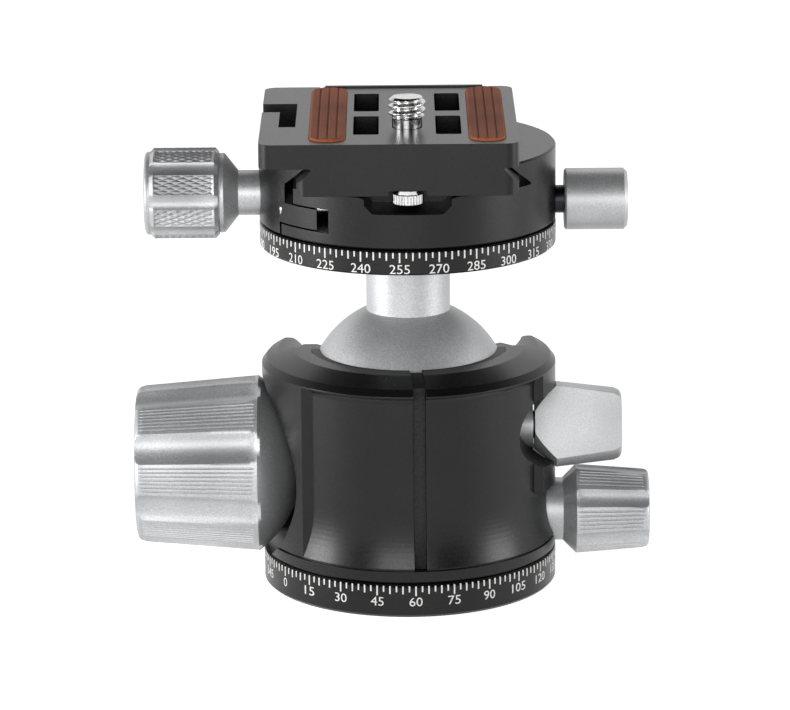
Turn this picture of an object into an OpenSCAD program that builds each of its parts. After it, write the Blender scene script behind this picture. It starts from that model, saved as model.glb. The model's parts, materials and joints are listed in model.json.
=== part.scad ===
// Tripod ball head: a panning base, a notched housing that clamps a ball, and a second panning
// clamp on the stem, which holds a quick release plate with a camera screw.
// The origin is the centre of the base's bottom face, where the tripod screw enters. The housing's
// split line faces the front, -Y, and its drop notch faces the back.

/* [Whole head] */
// Outer radius of the base, the housing, the graduated ring and the clamp
body_r = 26; // [25.5:0.1:28]
// Air gap between faces that pass each other
air_gap = 0.3; // [0.25:0.01:0.35]
// Running clearance of a shaft in its bore, on the radius
fit = 0.05; // [0.03:0.01:0.08]
// Edge break of the turned parts
edge = 0.3; // [0.2:0.05:0.4]

/* [Base] */
// Height of the graduated base ring
base_h = 5.9; // [5.4:0.1:6.4]
// Chamfer on the base's edges
base_chamfer = 0.5; // [0.3:0.05:0.7]
// Wall radius of the tripod thread, which is 3/8 inch by 16
tripod_thread_r = 3.97; // [3.9:0.01:4.05]
// Radius of the neck that the housing turns on
neck_r = 12; // [11.5:0.1:12.5]
// Height of the neck above the base's bottom
neck_top = 9; // [8.9:0.05:9.1]
// Radius of the brake drum on top of the neck
drum_r = 15.4; // [15:0.1:15.7]
// Thickness of the brake drum
drum_h = 4.6; // [4.3:0.1:4.7]
// Radius of the circle that the drum screws lie on
drum_screw_circle = 8.2; // [8:0.05:8.6]
// Radius of a drum screw's shaft
drum_screw_r = 1.5; // [1.4:0.05:1.6]
// Radius of a drum screw's head
drum_screw_head_r = 2.6; // [2.4:0.05:2.75]
// Height of a drum screw's head
drum_screw_head_h = 2.6; // [2.2:0.1:3]
// Number of drum screws
drum_screw_count = 3; // [3:1:4]

/* [Housing] */
// Radius of the main bore, which the ball passes through from below
bore_r = 18.4; // [18.35:0.01:18.6]
// Radius of the narrowest part of the waist
waist_r = 24.6; // [24.3:0.1:25]
// Height of the flange at the foot
flange_h = 2.1; // [1.8:0.1:2.4]
// Height of the flare from the flange up to the straight waist
flare_h = 9; // [7:0.5:10]
// Height of the rim's flat top above the ball's centre
rim_rise = 9.6; // [9.4:0.1:9.8]
// Radius of the opening in the rim
rim_mouth_r = 17.5; // [17.3:0.05:17.7]
// Outer radius of the rim's flat top
rim_flat_r = 20.4; // [19.8:0.1:21]
// Drop of the sloping face from the flat top to its outer edge
rim_slope = 1.3; // [1:0.1:1.6]
// Height of the bevelled band below the sloping face
rim_band_h = 1.4; // [1.1:0.1:1.6]
// How far the band's top edge stands in from the outer radius
rim_band_in = 0.9; // [0.7:0.1:1.2]
// Distance of the flat side recesses from the axis
recess_x = 19.2; // [19.15:0.05:19.4]
// Depth of the upper side recess below the friction knob's axis
recess_drop = 5.4; // [5.2:0.1:5.6]
// Radius of the round recess behind the main knob
knob_recess_r = 16.8; // [16.5:0.1:17]
// Half width of the full-radius side round that recess
knob_side_half = 18; // [17.8:0.1:18.4]
// Half width of the full-radius side behind the friction knob
friction_side_half = 11.2; // [11:0.1:11.6]
// Width of the split line at the front
split_w = 2.2; // [2:0.1:2.4]
// Depth of the split line below the waist
split_depth = 1.5; // [1.3:0.1:1.8]
// Turn of the split line away from the front, in degrees
split_turn = 4; // [3:0.5:6]
// Half width of the drop notch, a little over the stem's radius
notch_r = 8.2; // [8.1:0.1:8.5]
// Radius of the notch's rounded shoulders
shoulder_r = 9; // [8:0.5:10]

/* [Ball] */
// Radius of the ball
ball_r = 18.2; // [18.1:0.01:18.25]
// Height of the ball's centre above the base's bottom
ball_z = 32.5; // [32.4:0.05:32.6]
// Radius of the stem
stem_r = 7.4; // [7.2:0.05:7.6]
// Length of the stem, from the ball's centre to its top
stem_len = 28.7; // [28.5:0.1:30]

/* [Ball seat] */
// Height of the cup that carries the ball
cup_h = 8.6; // [8.2:0.1:8.8]
// Radius of the hole in the middle of the cup
cup_hole_r = 7.5; // [7:0.1:8]
// Height of the friction collar above the ball's centre, at its foot
collar_foot = 3.5; // [3:0.1:4]
// Thickness of the wave washer under the cup
wave_h = 0.75; // [0.6:0.05:0.8]
// Thickness of the snap ring that carries the wave washer
snap_h = 0.7; // [0.6:0.05:0.8]

/* [Main lock knob] */
// Height of the main knob's axis
lock_z = 20.9; // [20.8:0.05:21.1]
// Largest radius of the main knob, at its inner end
lock_r = 15.6; // [15.2:0.1:15.7]
// Radius of the main knob at its outer end
lock_end_r = 13.8; // [13.4:0.1:14.2]
// Distance of the outer end from the head's axis
lock_out_x = 48.4; // [46:0.1:50]
// Distance of the widest place from the head's axis
lock_in_x = 26.7; // [26.6:0.1:27.2]
// Radius of the domed inner end
lock_dome_r = 19.6; // [19:0.1:20.5]
// Number of flutes round the main knob
lock_flutes = 8; // [7:1:9]
// Radius of a flute's scoop
lock_flute_r = 4.3; // [4:0.1:4.6]
// Depth of a flute below the knob's surface
lock_flute_depth = 1.2; // [0.9:0.1:1.5]
// Turn of the first flute from the front, in degrees
lock_flute_turn = 26; // [20:1:32]
// Thread radius of the main lock spindle
spindle_r = 4; // [3.8:0.05:4.2]
// Radius of the threaded bush round the spindle
bush_r = 5.5; // [5.3:0.1:5.7]
// Radius of the shoe that presses on the ball
shoe_r = 3.2; // [3:0.1:3.4]
// Thickness of that shoe
shoe_h = 0.9; // [0.8:0.05:1]

/* [Friction knob] */
// Height of the friction knob's axis
friction_z = 27.6; // [27.5:0.05:27.8]
// Radius of the friction knob where it is widest
friction_r = 7.65; // [7.3:0.05:7.7]
// Radius of the friction knob at its outer end
friction_end_r = 6.3; // [6:0.1:6.5]
// Half thickness of the friction knob between its two flats
friction_flat = 4; // [3.7:0.1:4.3]
// Lean of the two flats back from upright, in degrees
friction_lean = 20; // [15:1:25]
// Radius of the bush in front of the friction knob
friction_neck_r = 4.1; // [3.9:0.1:4.3]
// Distance of the knob's outer end from the head's axis
friction_out_x = 37.7; // [36:0.1:39]
// Distance of the knob's widest place from the head's axis
friction_wide_x = 26.1; // [25.8:0.1:26.4]

/* [Pan lock knob] */
// Height of the pan lock knob's axis
pan_lock_z = 11.9; // [11.8:0.05:12]
// Radius of the pan lock knob where it is widest
pan_lock_r = 7.95; // [7.6:0.05:8]
// Radius of the pan lock knob at its outer end
pan_lock_end_r = 6.97; // [6.7:0.05:7.2]
// Radius of the knob's neck
pan_lock_neck_r = 5.6; // [5.3:0.05:5.65]
// Distance of the knob's outer end from the head's axis
pan_lock_out_x = 42.6; // [41:0.1:44]
// Number of flutes round the pan lock knob
pan_lock_flutes = 6; // [5:1:7]
// Radius of a flute's scoop
pan_lock_flute_r = 2.6; // [2.3:0.1:2.9]
// Depth of a flute below the knob's surface
pan_lock_flute_depth = 0.7; // [0.5:0.05:0.9]

/* [Lock screws] */
// Thread radius of the friction screw and both pan lock screws
screw_r = 2.45; // [2.35:0.05:2.55]
// Radius of the lower brake pad
pad_r = 1.7; // [1.6:0.05:1.75]

/* [Graduated ring] */
// Thickness of the graduated ring on the stem
ring_h = 4.2; // [3.9:0.1:4.5]
// Radius of the hub that the clamp turns on
hub_r = 7.5; // [7.3:0.1:7.8]
// Height of the hub above the ring
hub_h = 6.2; // [6.1:0.05:6.3]
// Radius of the retaining disc on the hub
disc_r = 9.2; // [9:0.1:9.4]
// Thickness of the retaining disc
disc_h = 1.3; // [1.2:0.05:1.4]
// Radius of the stem screw's shaft
stem_screw_r = 3; // [2.9:0.05:3.1]
// Radius of the stem screw's low head
stem_screw_head_r = 5; // [4.8:0.1:5.2]
// Height of the stem screw's head
stem_screw_head_h = 1.4; // [1.3:0.05:1.45]
// Depth of the stem screw in the stem
stem_screw_depth = 11; // [9:0.5:12]

/* [Clamp] */
// Height of the clamp body
clamp_h = 13.3; // [13.2:0.05:13.4]
// Height of the deck above the clamp's bottom
deck_rise = 8.9; // [8.85:0.05:8.95]
// Half width of the plate's neck, where the jaws reach in
neck_half = 16.4; // [16.2:0.1:16.6]
// Half width of the dovetail, 19 mm on a standard plate
dovetail_half = 19; // [18.9:0.05:19.1]
// Half width of the relief for the stop screw in the deck
relief_half = 7.5; // [7:0.1:8]
// Depth of that relief below the deck
relief_depth = 2.8; // [2.6:0.1:3]
// Length of that relief, in from the edge
relief_len = 10.5; // [10:0.1:11]
// Distance of the jaw's inner wall from the axis
jaw_wall_x = 21.2; // [21:0.1:21.4]
// Distance of the jaw's foot from the axis
jaw_foot_x = 22.1; // [22:0.05:22.3]
// Distance of the jaw tongue's tip from the axis
tongue_tip_x = 15.6; // [15.4:0.1:15.9]
// Height of the tongue's underside above the clamp's bottom
tongue_rise = 2.4; // [2.3:0.05:2.5]
// Thickness of the tongue
tongue_h = 3.55; // [3.4:0.05:3.6]
// Distance of the end of the tongue's slot from the axis
slot_end_x = 13.6; // [13.4:0.1:13.9]
// Radius of the clamp screw
clamp_screw_r = 3; // [2.8:0.1:3.1]
// Radius of a guide pin
guide_r = 1.2; // [1:0.1:1.3]
// Distance of each guide pin from the clamp screw
guide_y = 13; // [12:0.5:14]
// Distance of each jaw spring from the clamp screw
spring_y = 8; // [7.5:0.1:8.5]
// Radius of a jaw spring
spring_r = 1.1; // [1:0.1:1.3]

/* [Clamp knob] */
// Height of the clamp knob's axis above the clamp's bottom
clamp_axis = 4.5; // [4.4:0.05:4.6]
// Radius of the clamp knob
clamp_knob_r = 8; // [7.7:0.1:8.3]
// Length of the fluted barrel
clamp_barrel = 13; // [12:0.1:14]
// Distance of the knob's outer end from the head's axis
clamp_out_x = 46; // [45:0.1:47]
// Radius of the smooth collar
clamp_collar_r = 7; // [6.8:0.1:7.3]
// Radius of the knob's neck
clamp_neck_r = 3.95; // [3.8:0.05:4.1]
// Distance of the end of the cone from the axis
clamp_cone_x = 29.6; // [29.3:0.1:30]
// Number of flutes round the clamp knob
clamp_flutes = 8; // [7:1:9]
// Radius of a flute's scoop
clamp_flute_r = 2.2; // [2:0.1:2.4]
// Depth of a flute below the knob's surface
clamp_flute_depth = 0.6; // [0.4:0.05:0.8]

/* [Clamp pan knob] */
// Height of the clamp pan knob's axis above the clamp's bottom
clamp_pan_axis = 2.9; // [2.85:0.05:2.95]
// Radius of the clamp pan knob
clamp_pan_r = 5.4; // [5.1:0.05:5.6]
// Distance of the knob's inner end from the axis
clamp_pan_in_x = 27.5; // [27.2:0.1:27.8]
// Distance of the knob's outer end from the axis
clamp_pan_out_x = 38.5; // [37.5:0.1:40]
// Radius of the upper brake pad
clamp_pad_r = 1.9; // [1.8:0.05:2]

/* [Quick release plate] */
// Thickness of the slab above the dovetail
slab_h = 4.25; // [4:0.05:4.5]
// Half length of the plate, along the dovetail
plate_half = 25.1; // [24.5:0.1:25.5]
// How far the slab reaches over the jaw, from the axis
slab_left = 25.4; // [25:0.1:25.8]
// How far the slab reaches on the other side
slab_right = 19; // [18.9:0.05:19.1]
// Radius of the plate's corners
plate_corner = 2.3; // [2:0.1:2.6]
// Height of the dovetail's straight side
dovetail_side = 1.85; // [1.7:0.05:2]
// Half width of the slot for the camera screw
screw_slot_half = 2.6; // [2.55:0.05:2.7]
// Travel of the camera screw's centre from the plate's middle
screw_travel = 10.6; // [10:0.1:11]
// Half width of the channel for the screw's head
channel_half = 6.2; // [6.1:0.05:6.5]
// Width of a window in the plate
window_w = 4.4; // [4.2:0.1:4.6]
// Length of a window in the plate
window_len = 15.6; // [15:0.1:16]
// Radius of a window's corners
window_corner = 0.5; // [0.3:0.1:0.8]
// Distance of the windows from the plate's centre line
window_x = 7.1; // [7:0.1:7.4]
// Height of the lip on the back edge
lip_h = 0.3; // [0.2:0.05:0.4]
// Width of a rubber pad
pad_w = 6.3; // [6:0.1:6.6]
// Length of a rubber pad
pad_len = 45.6; // [44:0.2:46]
// Distance of the rubber pads from the plate's centre line
pad_x = 13.7; // [13.6:0.1:13.9]
// Depth of a rubber pad's seat in the plate
pad_seat = 0.5; // [0.4:0.05:0.6]
// Height of a rubber pad above the plate
pad_proud = 0.5; // [0.3:0.05:0.7]

/* [Camera screw] */
// Outer thread radius of the camera screw, which is 1/4 inch by 20
camera_thread_r = 3.17; // [3.1:0.01:3.17]
// Radius of the relieved shank below the thread
camera_shank_r = 2.4; // [2.3:0.05:2.45]
// Height of the screw above the plate
camera_rise = 5.4; // [5:0.1:5.8]
// Length of the threaded tip
camera_thread_len = 3.8; // [3.5:0.1:4]
// Radius of the screw's head
camera_head_r = 5.4; // [5.2:0.1:5.6]
// Height of the screw's head
camera_head_h = 2.4; // [2.2:0.1:2.5]
// Thickness of the washer on the screw's head
washer_h = 0.6; // [0.5:0.05:0.8]

/* [Stop screws] */
// Radius of a stop screw's head
stop_head_r = 2.7; // [2.5:0.05:2.8]
// Height of a stop screw's head
stop_head_h = 3; // [2.8:0.1:3.1]
// Distance of each stop screw from the plate's middle
stop_y = 22; // [21.8:0.1:22.1]

/* [Hidden] */
$fn = 96;
lap = 1;            // overrun of every cut
arc_steps = 10;     // steps in an outline's arc

// Heights above the base's bottom face
housing_z = base_h + air_gap;
flange_top = housing_z + flange_h;
rim_z = ball_z + rim_rise;
band_top = rim_z - rim_slope;
band_foot = band_top - rim_band_h;
drum_top = neck_top + drum_h;
snap_z = drum_top + air_gap;
wave_z = snap_z + snap_h;
cup_z = wave_z + wave_h;
ring_z = ball_z + stem_len;
ring_top = ring_z + ring_h;
hub_top = ring_top + hub_h;
clamp_z = ring_top + air_gap;
clamp_top = clamp_z + clamp_h;
deck_z = clamp_z + deck_rise;
clamp_axis_z = clamp_z + clamp_axis;
clamp_pan_z = clamp_z + clamp_pan_axis;
plate_z = deck_z + air_gap;
bevel = dovetail_half - neck_half;
neck_z = plate_z + dovetail_side + bevel;
slab_z = neck_z + air_gap;
plate_top = slab_z + slab_h;

// Widths and lengths that follow
seat_r = bore_r - fit;                          // what slides or sits in the main bore
under_r = body_r - waist_r;                     // fillet below the rim's band
groove_h = 1.5 * edge;                          // groove over the flange
snap_r = bore_r + edge;                         // snap ring in its groove
shoe_x = ball_r - 3 * edge;                     // heel of the shoe
pan_recess_r = waist_r - (body_r - waist_r) / 2; // floor of the recess at the pan lock knob
bearing_in = (neck_r + body_r) / 2;             // lower bearing ring
bearing_out = bearing_in + neck_r / 4;
upper_bearing_in = body_r * 2 / 3;              // upper bearing ring
upper_bearing_out = upper_bearing_in + hub_r / 2;
bearing_depth = 3 * air_gap;                    // its groove
jaw_gap = air_gap * sqrt(2);                    // slack along X that leaves air_gap square to a bevel
dome_x = lock_in_x + sqrt(lock_dome_r * lock_dome_r - lock_r * lock_r);
slot_z = clamp_z + tongue_rise - air_gap;
slot_h = tongue_h + 2 * air_gap;
tongue_z = clamp_z + tongue_rise;
counter_r = disc_r + air_gap;                   // counterbore for the retaining disc
counter_z = hub_top - 2 * air_gap;
lock_taper = (lock_r - lock_end_r) / (lock_out_x - lock_in_x);
pan_cone = pan_lock_r - pan_lock_neck_r;        // rise and length of the pan knob's cone
pan_wide_x = friction_wide_x + 1.5 * pan_cone;
pan_taper = (pan_lock_r - pan_lock_end_r) / (pan_lock_out_x - pan_wide_x);
barrel_x = clamp_out_x - clamp_barrel;
camera_head_z = plate_z + edge;
washer_z = camera_head_z + camera_head_h + fit;  // washer on the camera screw's head
channel_z = washer_z + washer_h + fit;           // roof of the channel for both

// Points of an arc about [x, y] with radius r, from angle a to angle b
function arc(x, y, r, a, b, n = arc_steps) =
  [for (i = [0:n]) let (t = a + (b - a) * i / n) [x + r * cos(t), y + r * sin(t)]];

// A ring or disc standing on height z
module ring(r_out, r_in, z, h) {
  translate([0, 0, z]) difference() {
    cylinder(r = r_out, h = h);
    translate([0, 0, -lap]) cylinder(r = r_in, h = h + 2 * lap);
  }
}

// A rod along X at height z, from x0 to x1
module rod_x(r, x0, x1, z, y = 0) {
  translate([min(x0, x1), y, z]) rotate([0, 90, 0]) cylinder(r = r, h = abs(x1 - x0));
}

// A turned shape along X at height z: outline points are [distance from the head's axis, radius]
module turned_x(points, z, side) {
  translate([0, 0, z]) rotate([0, 90 * side, 0]) rotate_extrude() polygon([for (p = points) [p[1], p[0]]]);
}

// Scoops along a tapered knob, cut round its axis
module flutes_x(count, scoop_r, depth, turn, r_in, x_in, r_out, x_out, z, side) {
  lean = atan((r_in - r_out) / (x_out - x_in));
  length = x_out - x_in;
  translate([0, 0, z]) rotate([0, 90 * side, 0])
    for (i = [0:count - 1]) rotate([0, 0, turn + i * 360 / count])
      translate([r_in + scoop_r - depth, 0, x_in]) rotate([0, -lean, 0])
        cylinder(r = scoop_r, h = length + 2 * lap);
}

// A spherical cut a running clearance larger than the ball
module ball_space() {
  translate([0, 0, ball_z]) sphere(r = ball_r + fit);
}

// The drop notch at the back: a round foot for the stem, flared up to rounded shoulders
module notch_outline() {
  wide = rim_mouth_r + shoulder_r + edge;
  foot = notch_r;
  difference() {
    polygon([[-foot, 0], [foot, 0], [foot, foot / 5], [2 * foot + edge, foot * 2 / 3],
             [wide, foot * 2 / 3], [wide, 2 * rim_rise], [-wide, 2 * rim_rise],
             [-wide, foot * 2 / 3], [-2 * foot - edge, foot * 2 / 3], [-foot, foot / 5]]);
    for (side = [-1, 1]) translate([side * wide, rim_rise - shoulder_r]) circle(r = shoulder_r);
  }
  circle(r = foot);
}
module notch() {
  translate([0, 0, ball_z]) rotate([90, 0, 180]) linear_extrude(2 * body_r) notch_outline();
}

// Outline of the housing, turned about Z
module housing_outline() {
  flare_top = flange_top + groove_h + flare_h;
  flare_r = (flare_h * flare_h + under_r * under_r) / (2 * under_r);
  polygon(concat(
    [[bore_r, housing_z], [body_r - edge, housing_z], [body_r, housing_z + edge], [body_r, flange_top],
     [body_r - groove_h, flange_top], [body_r - groove_h, flange_top + groove_h]],
    [for (i = [0:arc_steps]) let (h = flare_h * i / arc_steps, d = flare_h - h)
      [waist_r + flare_r - sqrt(flare_r * flare_r - d * d), flange_top + groove_h + h]],
    arc(body_r, band_foot - under_r, under_r, 180, 90),
    [[body_r, band_foot + edge], [body_r - rim_band_in, band_top], [rim_flat_r, rim_z],
     [rim_mouth_r, rim_z], [rim_mouth_r, band_foot], [bore_r, band_foot]]));
}

// A side that keeps the full radius from height z0 up to the rim
module full_side(side, half, z0) {
  z1 = band_foot + edge;
  intersection() {
    ring(body_r, bore_r, z0, z1 - z0);
    translate([side < 0 ? -body_r : bore_r / 2, -half, z0]) cube([body_r - bore_r / 2, 2 * half, z1 - z0]);
  }
}

// The side recess behind the friction knob, scooped from front to back
module friction_recess() {
  scoop_r = body_r - recess_x;
  translate([body_r, body_r + lap, friction_z - recess_drop + scoop_r]) rotate([90, 0, 0])
    cylinder(r = scoop_r, h = 2 * body_r + 2 * lap);
}

// The room that the friction knob's cone turns in
module friction_sweep() {
  x0 = friction_wide_x - friction_neck_r;
  turned_x([[x0, 0], [x0, friction_neck_r + 2 * air_gap], [friction_wide_x, friction_r + 2 * air_gap],
    [2 * body_r, friction_r + 2 * air_gap], [2 * body_r, 0]], friction_z, 1);
}

module base_plate() {
  color("#26272a") difference() {
    union() {
      rotate_extrude() polygon([[0, 0], [body_r - base_chamfer, 0], [body_r, base_chamfer],
        [body_r, base_h - base_chamfer], [body_r - base_chamfer, base_h], [0, base_h]]);
      cylinder(r = neck_r, h = neck_top);
    }
    translate([0, 0, -lap]) cylinder(r = tripod_thread_r, h = neck_top + 2 * lap);
    ring(bearing_out + fit, bearing_in - fit, base_h - bearing_depth, bearing_depth + lap);
    drum_screw_places() {
      translate([0, 0, -lap]) cylinder(r = drum_screw_r + fit, h = neck_top + 2 * lap);
      translate([0, 0, -lap]) cylinder(r = drum_screw_head_r + fit, h = drum_screw_head_h + edge + lap);
    }
  }
}

module drum_screw_places() {
  for (i = [0:drum_screw_count - 1]) rotate([0, 0, 90 + i * 360 / drum_screw_count])
    translate([drum_screw_circle, 0, 0]) children();
}

module brake_drum() {
  color("#8c8e92") translate([0, 0, neck_top]) difference() {
    cylinder(r = drum_r, h = drum_h);
    translate([0, 0, -lap]) cylinder(r = tripod_thread_r + 2 * air_gap, h = drum_h + 2 * lap);
    drum_screw_places() translate([0, 0, -lap]) cylinder(r = drum_screw_r, h = drum_h - edge + lap);
  }
}

module drum_screws() {
  color("#9a9ca0") drum_screw_places() difference() {
    union() {
      translate([0, 0, edge]) cylinder(r = drum_screw_head_r, h = drum_screw_head_h);
      translate([0, 0, edge]) cylinder(r = drum_screw_r, h = neck_top + drum_h - 3 * edge);
    }
    cylinder(r = drum_screw_r * 0.8, h = drum_screw_head_h / 2 + edge, $fn = 6);
  }
}

module lower_bearing_ring() {
  color("#e8e6df") ring(bearing_out, bearing_in, base_h - bearing_depth, bearing_depth + air_gap - fit);
}

module housing() {
  color("#1d1e20") difference() {
    union() {
      rotate_extrude() housing_outline();
      full_side(-1, knob_side_half, flange_top + groove_h);
      full_side(1, friction_side_half, pan_lock_z + pan_lock_neck_r + 2 * air_gap);
    }
    friction_recess();
    rod_x(knob_recess_r, -recess_x, -body_r - lap, lock_z);
    notch();
    split(split_w);
    rod_x(bush_r + fit, -bore_r + 2 * lap, -body_r, lock_z);
    rod_x(friction_neck_r - 2 * air_gap + fit, bore_r - lap, body_r, friction_z);
    rod_x(friction_neck_r + fit, recess_x, body_r, friction_z);
    friction_sweep();
    rod_x(pad_r + fit, bore_r - lap, body_r, pan_lock_z);
    rod_x(screw_r + fit, bore_r + pad_r, body_r, pan_lock_z);
    rod_x(pan_lock_neck_r + air_gap, pan_recess_r - lap, body_r + lap, pan_lock_z);
    translate([pan_recess_r - lap, -pan_lock_neck_r / 2, housing_z - lap])
      cube([body_r, pan_lock_neck_r, flange_h + 2 * lap]);
    ring(snap_r + fit, bore_r - lap, snap_z - fit, snap_h + 2 * fit);
  }
}

// The split line runs down the front, as deep as its strip
module split(width, clear = 0) {
  deep = waist_r - split_depth;
  rotate([0, 0, split_turn]) translate([-width / 2, -body_r - lap, flange_top + clear])
    cube([width, body_r + lap - deep, rim_z]);
  rotate([0, 0, split_turn]) translate([-width / 2, -body_r - lap, band_foot - edge + clear])
    cube([width, body_r + lap - rim_mouth_r + edge, rim_z]);
}

module split_strip() {
  color("#1a1a1b") intersection() {
    split(split_w - 2 * fit, fit);
    union() {
      ring(waist_r - edge, bore_r, flange_top, ball_z);
      rotate_extrude() polygon([[rim_mouth_r, band_foot], [waist_r - edge, band_foot],
        [waist_r - edge, band_top - edge], [rim_flat_r, rim_z - edge], [rim_mouth_r, rim_z - edge]]);
    }
  }
}

module floor_ring() {
  color("#8c8e92") difference() {
    ring(seat_r, neck_r + fit, housing_z + edge, neck_top - housing_z - 3 * edge);
    for (i = [0:3]) rotate([0, 0, 45 + i * 90]) translate([(neck_r + bore_r) / 2, 0, housing_z])
      cylinder(r = edge * 3, h = 3 * edge);
  }
}

module glide_washer() {
  z0 = neck_top - 2 * edge + fit;
  color("#e8e6df") ring(drum_r - edge, neck_r + edge, z0, neck_top - fit - z0);
}

module snap_ring() {
  color("#6d6f73") difference() {
    ring(snap_r, bore_r - pad_r, snap_z, snap_h);
    translate([0, bore_r, snap_z]) cube([2 * pad_r, 4 * pad_r, 4 * snap_h], center = true);
  }
}

module wave_washer() {
  color("#6d6f73") ring(seat_r - edge, bore_r - pad_r + edge, wave_z, wave_h);
}

module ball_cup() {
  color("#d8d5cc") difference() {
    ring(seat_r, cup_hole_r, cup_z, cup_h);
    ball_space();
    rod_x(bush_r + air_gap, -bore_r - lap, -shoe_x + shoe_h + air_gap, lock_z);
  }
}

module friction_collar() {
  color("#3a3b3e") difference() {
    rotate_extrude() polygon([[rim_mouth_r / 2, ball_z + collar_foot], [seat_r, ball_z + collar_foot],
      [seat_r, band_foot - fit], [rim_mouth_r - air_gap, band_foot - fit],
      [rim_mouth_r - air_gap, rim_z - edge], [rim_mouth_r / 2, rim_z - edge]]);
    ball_space();
    notch();
    rotate([0, 0, split_turn]) translate([-split_w / 2, -body_r, ball_z])
      cube([split_w, body_r, 2 * rim_rise]);
  }
}

module lock_bush() {
  color("#a8a9ab") difference() {
    rod_x(bush_r, -shoe_x - fit, -lock_in_x, lock_z);
    rod_x(spindle_r + fit, 0, -lock_in_x - lap, lock_z);
  }
}

module friction_bush() {
  inner_r = friction_neck_r - 2 * air_gap;
  color("#b4b5b7") difference() {
    union() {
      rod_x(inner_r, bore_r + fit, recess_x + fit, friction_z);
      rod_x(friction_neck_r, recess_x + fit, friction_wide_x - friction_neck_r - fit, friction_z);
    }
    rod_x(screw_r + fit, bore_r - lap, body_r, friction_z);
  }
}

module lock_shoe() {
  color("#b08d57") rod_x(shoe_r, -shoe_x + shoe_h, -shoe_x, lock_z);
}

module main_lock_knob() {
  bore_end = lock_in_x + bush_r;
  color("#b9babc") difference() {
    turned_x(concat([[lock_out_x, 0], [lock_out_x, lock_end_r - edge * 3],
      [lock_out_x - edge * 3, lock_end_r + edge * 3 * lock_taper], [lock_in_x, lock_r]],
      [for (i = [1:arc_steps]) let (x = lock_in_x + (recess_x + air_gap - lock_in_x) * i / arc_steps)
        [x, sqrt(lock_dome_r * lock_dome_r - (dome_x - x) * (dome_x - x))]],
      [[recess_x + air_gap, 0]]), lock_z, -1);
    flutes_x(lock_flutes, lock_flute_r, lock_flute_depth, lock_flute_turn, lock_r, lock_in_x,
      lock_end_r, lock_out_x, lock_z, -1);
    rod_x(bush_r + air_gap, 0, -bore_end, lock_z);
    rod_x(spindle_r, 0, -lock_out_x - lap, lock_z);
    rod_x(bush_r, -lock_out_x + bush_r, -lock_out_x - lap, lock_z);
  }
}

module lock_spindle() {
  color("#a8a9ab") difference() {
    rod_x(spindle_r, -shoe_x - fit, -lock_out_x + bush_r + edge, lock_z);
    rod_x(drum_screw_r, -lock_out_x + 3 * bush_r, -lock_out_x, lock_z);
  }
}

module knob_retaining_screw() {
  head_x = lock_out_x - bush_r + edge;
  color("#6d6f73") difference() {
    union() {
      rod_x(drum_screw_r, -head_x, -lock_out_x + 3 * bush_r - edge, lock_z);
      rod_x(bush_r - fit, -head_x, -head_x - drum_screw_head_h, lock_z);
    }
    translate([-head_x - drum_screw_head_h - lap, 0, lock_z]) rotate([0, 90, 0])
      cylinder(r = drum_screw_r, h = drum_screw_head_h / 2 + lap, $fn = 6);
  }
}

module friction_plug() {
  color("#efece4") rod_x(screw_r - air_gap, ball_r, recess_x + lap - fit, friction_z);
}

module friction_knob() {
  x0 = friction_wide_x - friction_neck_r + air_gap;
  tip = edge * 4;
  slope = (friction_r - friction_end_r) / (friction_out_x - friction_wide_x);
  color("#b9babc") difference() {
    intersection() {
      turned_x(concat([[x0, 0], [x0, friction_neck_r + edge], [friction_wide_x, friction_r],
        [friction_out_x - tip, friction_end_r + tip * slope]],
        arc(friction_out_x - tip, friction_end_r - tip, tip, 90, 0),
        [[friction_out_x, 0]]), friction_z, 1);
      translate([x0 - lap, 0, friction_z]) rotate([-friction_lean, 0, 0]) translate([0, -friction_flat, -body_r / 2])
        cube([body_r, 2 * friction_flat, body_r]);
    }
    rod_x(screw_r, 0, friction_out_x - tip, friction_z);
  }
}

module friction_screw() {
  color("#6d6f73") rod_x(screw_r, recess_x + lap, friction_out_x - edge * 4, friction_z);
}

module brake_pad() {
  color("#b08d57") rod_x(pad_r, drum_r + fit, bore_r + pad_r + fit, pan_lock_z);
}

module pan_lock_knob() {
  tip = edge * 2;
  color("#b9babc") difference() {
    turned_x([[pan_recess_r + edge, 0], [pan_recess_r + edge, pan_lock_neck_r],
      [pan_wide_x - pan_cone, pan_lock_neck_r], [pan_wide_x, pan_lock_r],
      [pan_lock_out_x - tip, pan_lock_end_r + tip * pan_taper], [pan_lock_out_x, pan_lock_end_r - tip],
      [pan_lock_out_x, 0]], pan_lock_z, 1);
    flutes_x(pan_lock_flutes, pan_lock_flute_r, pan_lock_flute_depth, 0, pan_lock_r, pan_wide_x,
      pan_lock_end_r, pan_lock_out_x, pan_lock_z, 1);
    rod_x(screw_r, 0, pan_lock_out_x - pan_lock_end_r, pan_lock_z);
  }
}

module pan_lock_screw() {
  color("#6d6f73") rod_x(screw_r, bore_r + pad_r + 2 * fit, pan_lock_out_x - pan_lock_end_r, pan_lock_z);
}

module ball_stem() {
  color("#a3a4a6") difference() {
    union() {
      translate([0, 0, ball_z]) sphere(r = ball_r);
      translate([0, 0, ball_z]) cylinder(r = stem_r, h = stem_len);
    }
    translate([0, 0, ring_z - stem_screw_depth])
      cylinder(r = stem_screw_r + fit, h = stem_screw_depth + lap);
    translate([0, 0, ring_z - stem_r / 4]) cylinder(r = stem_screw_head_r + fit, h = stem_r);
  }
}

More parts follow.
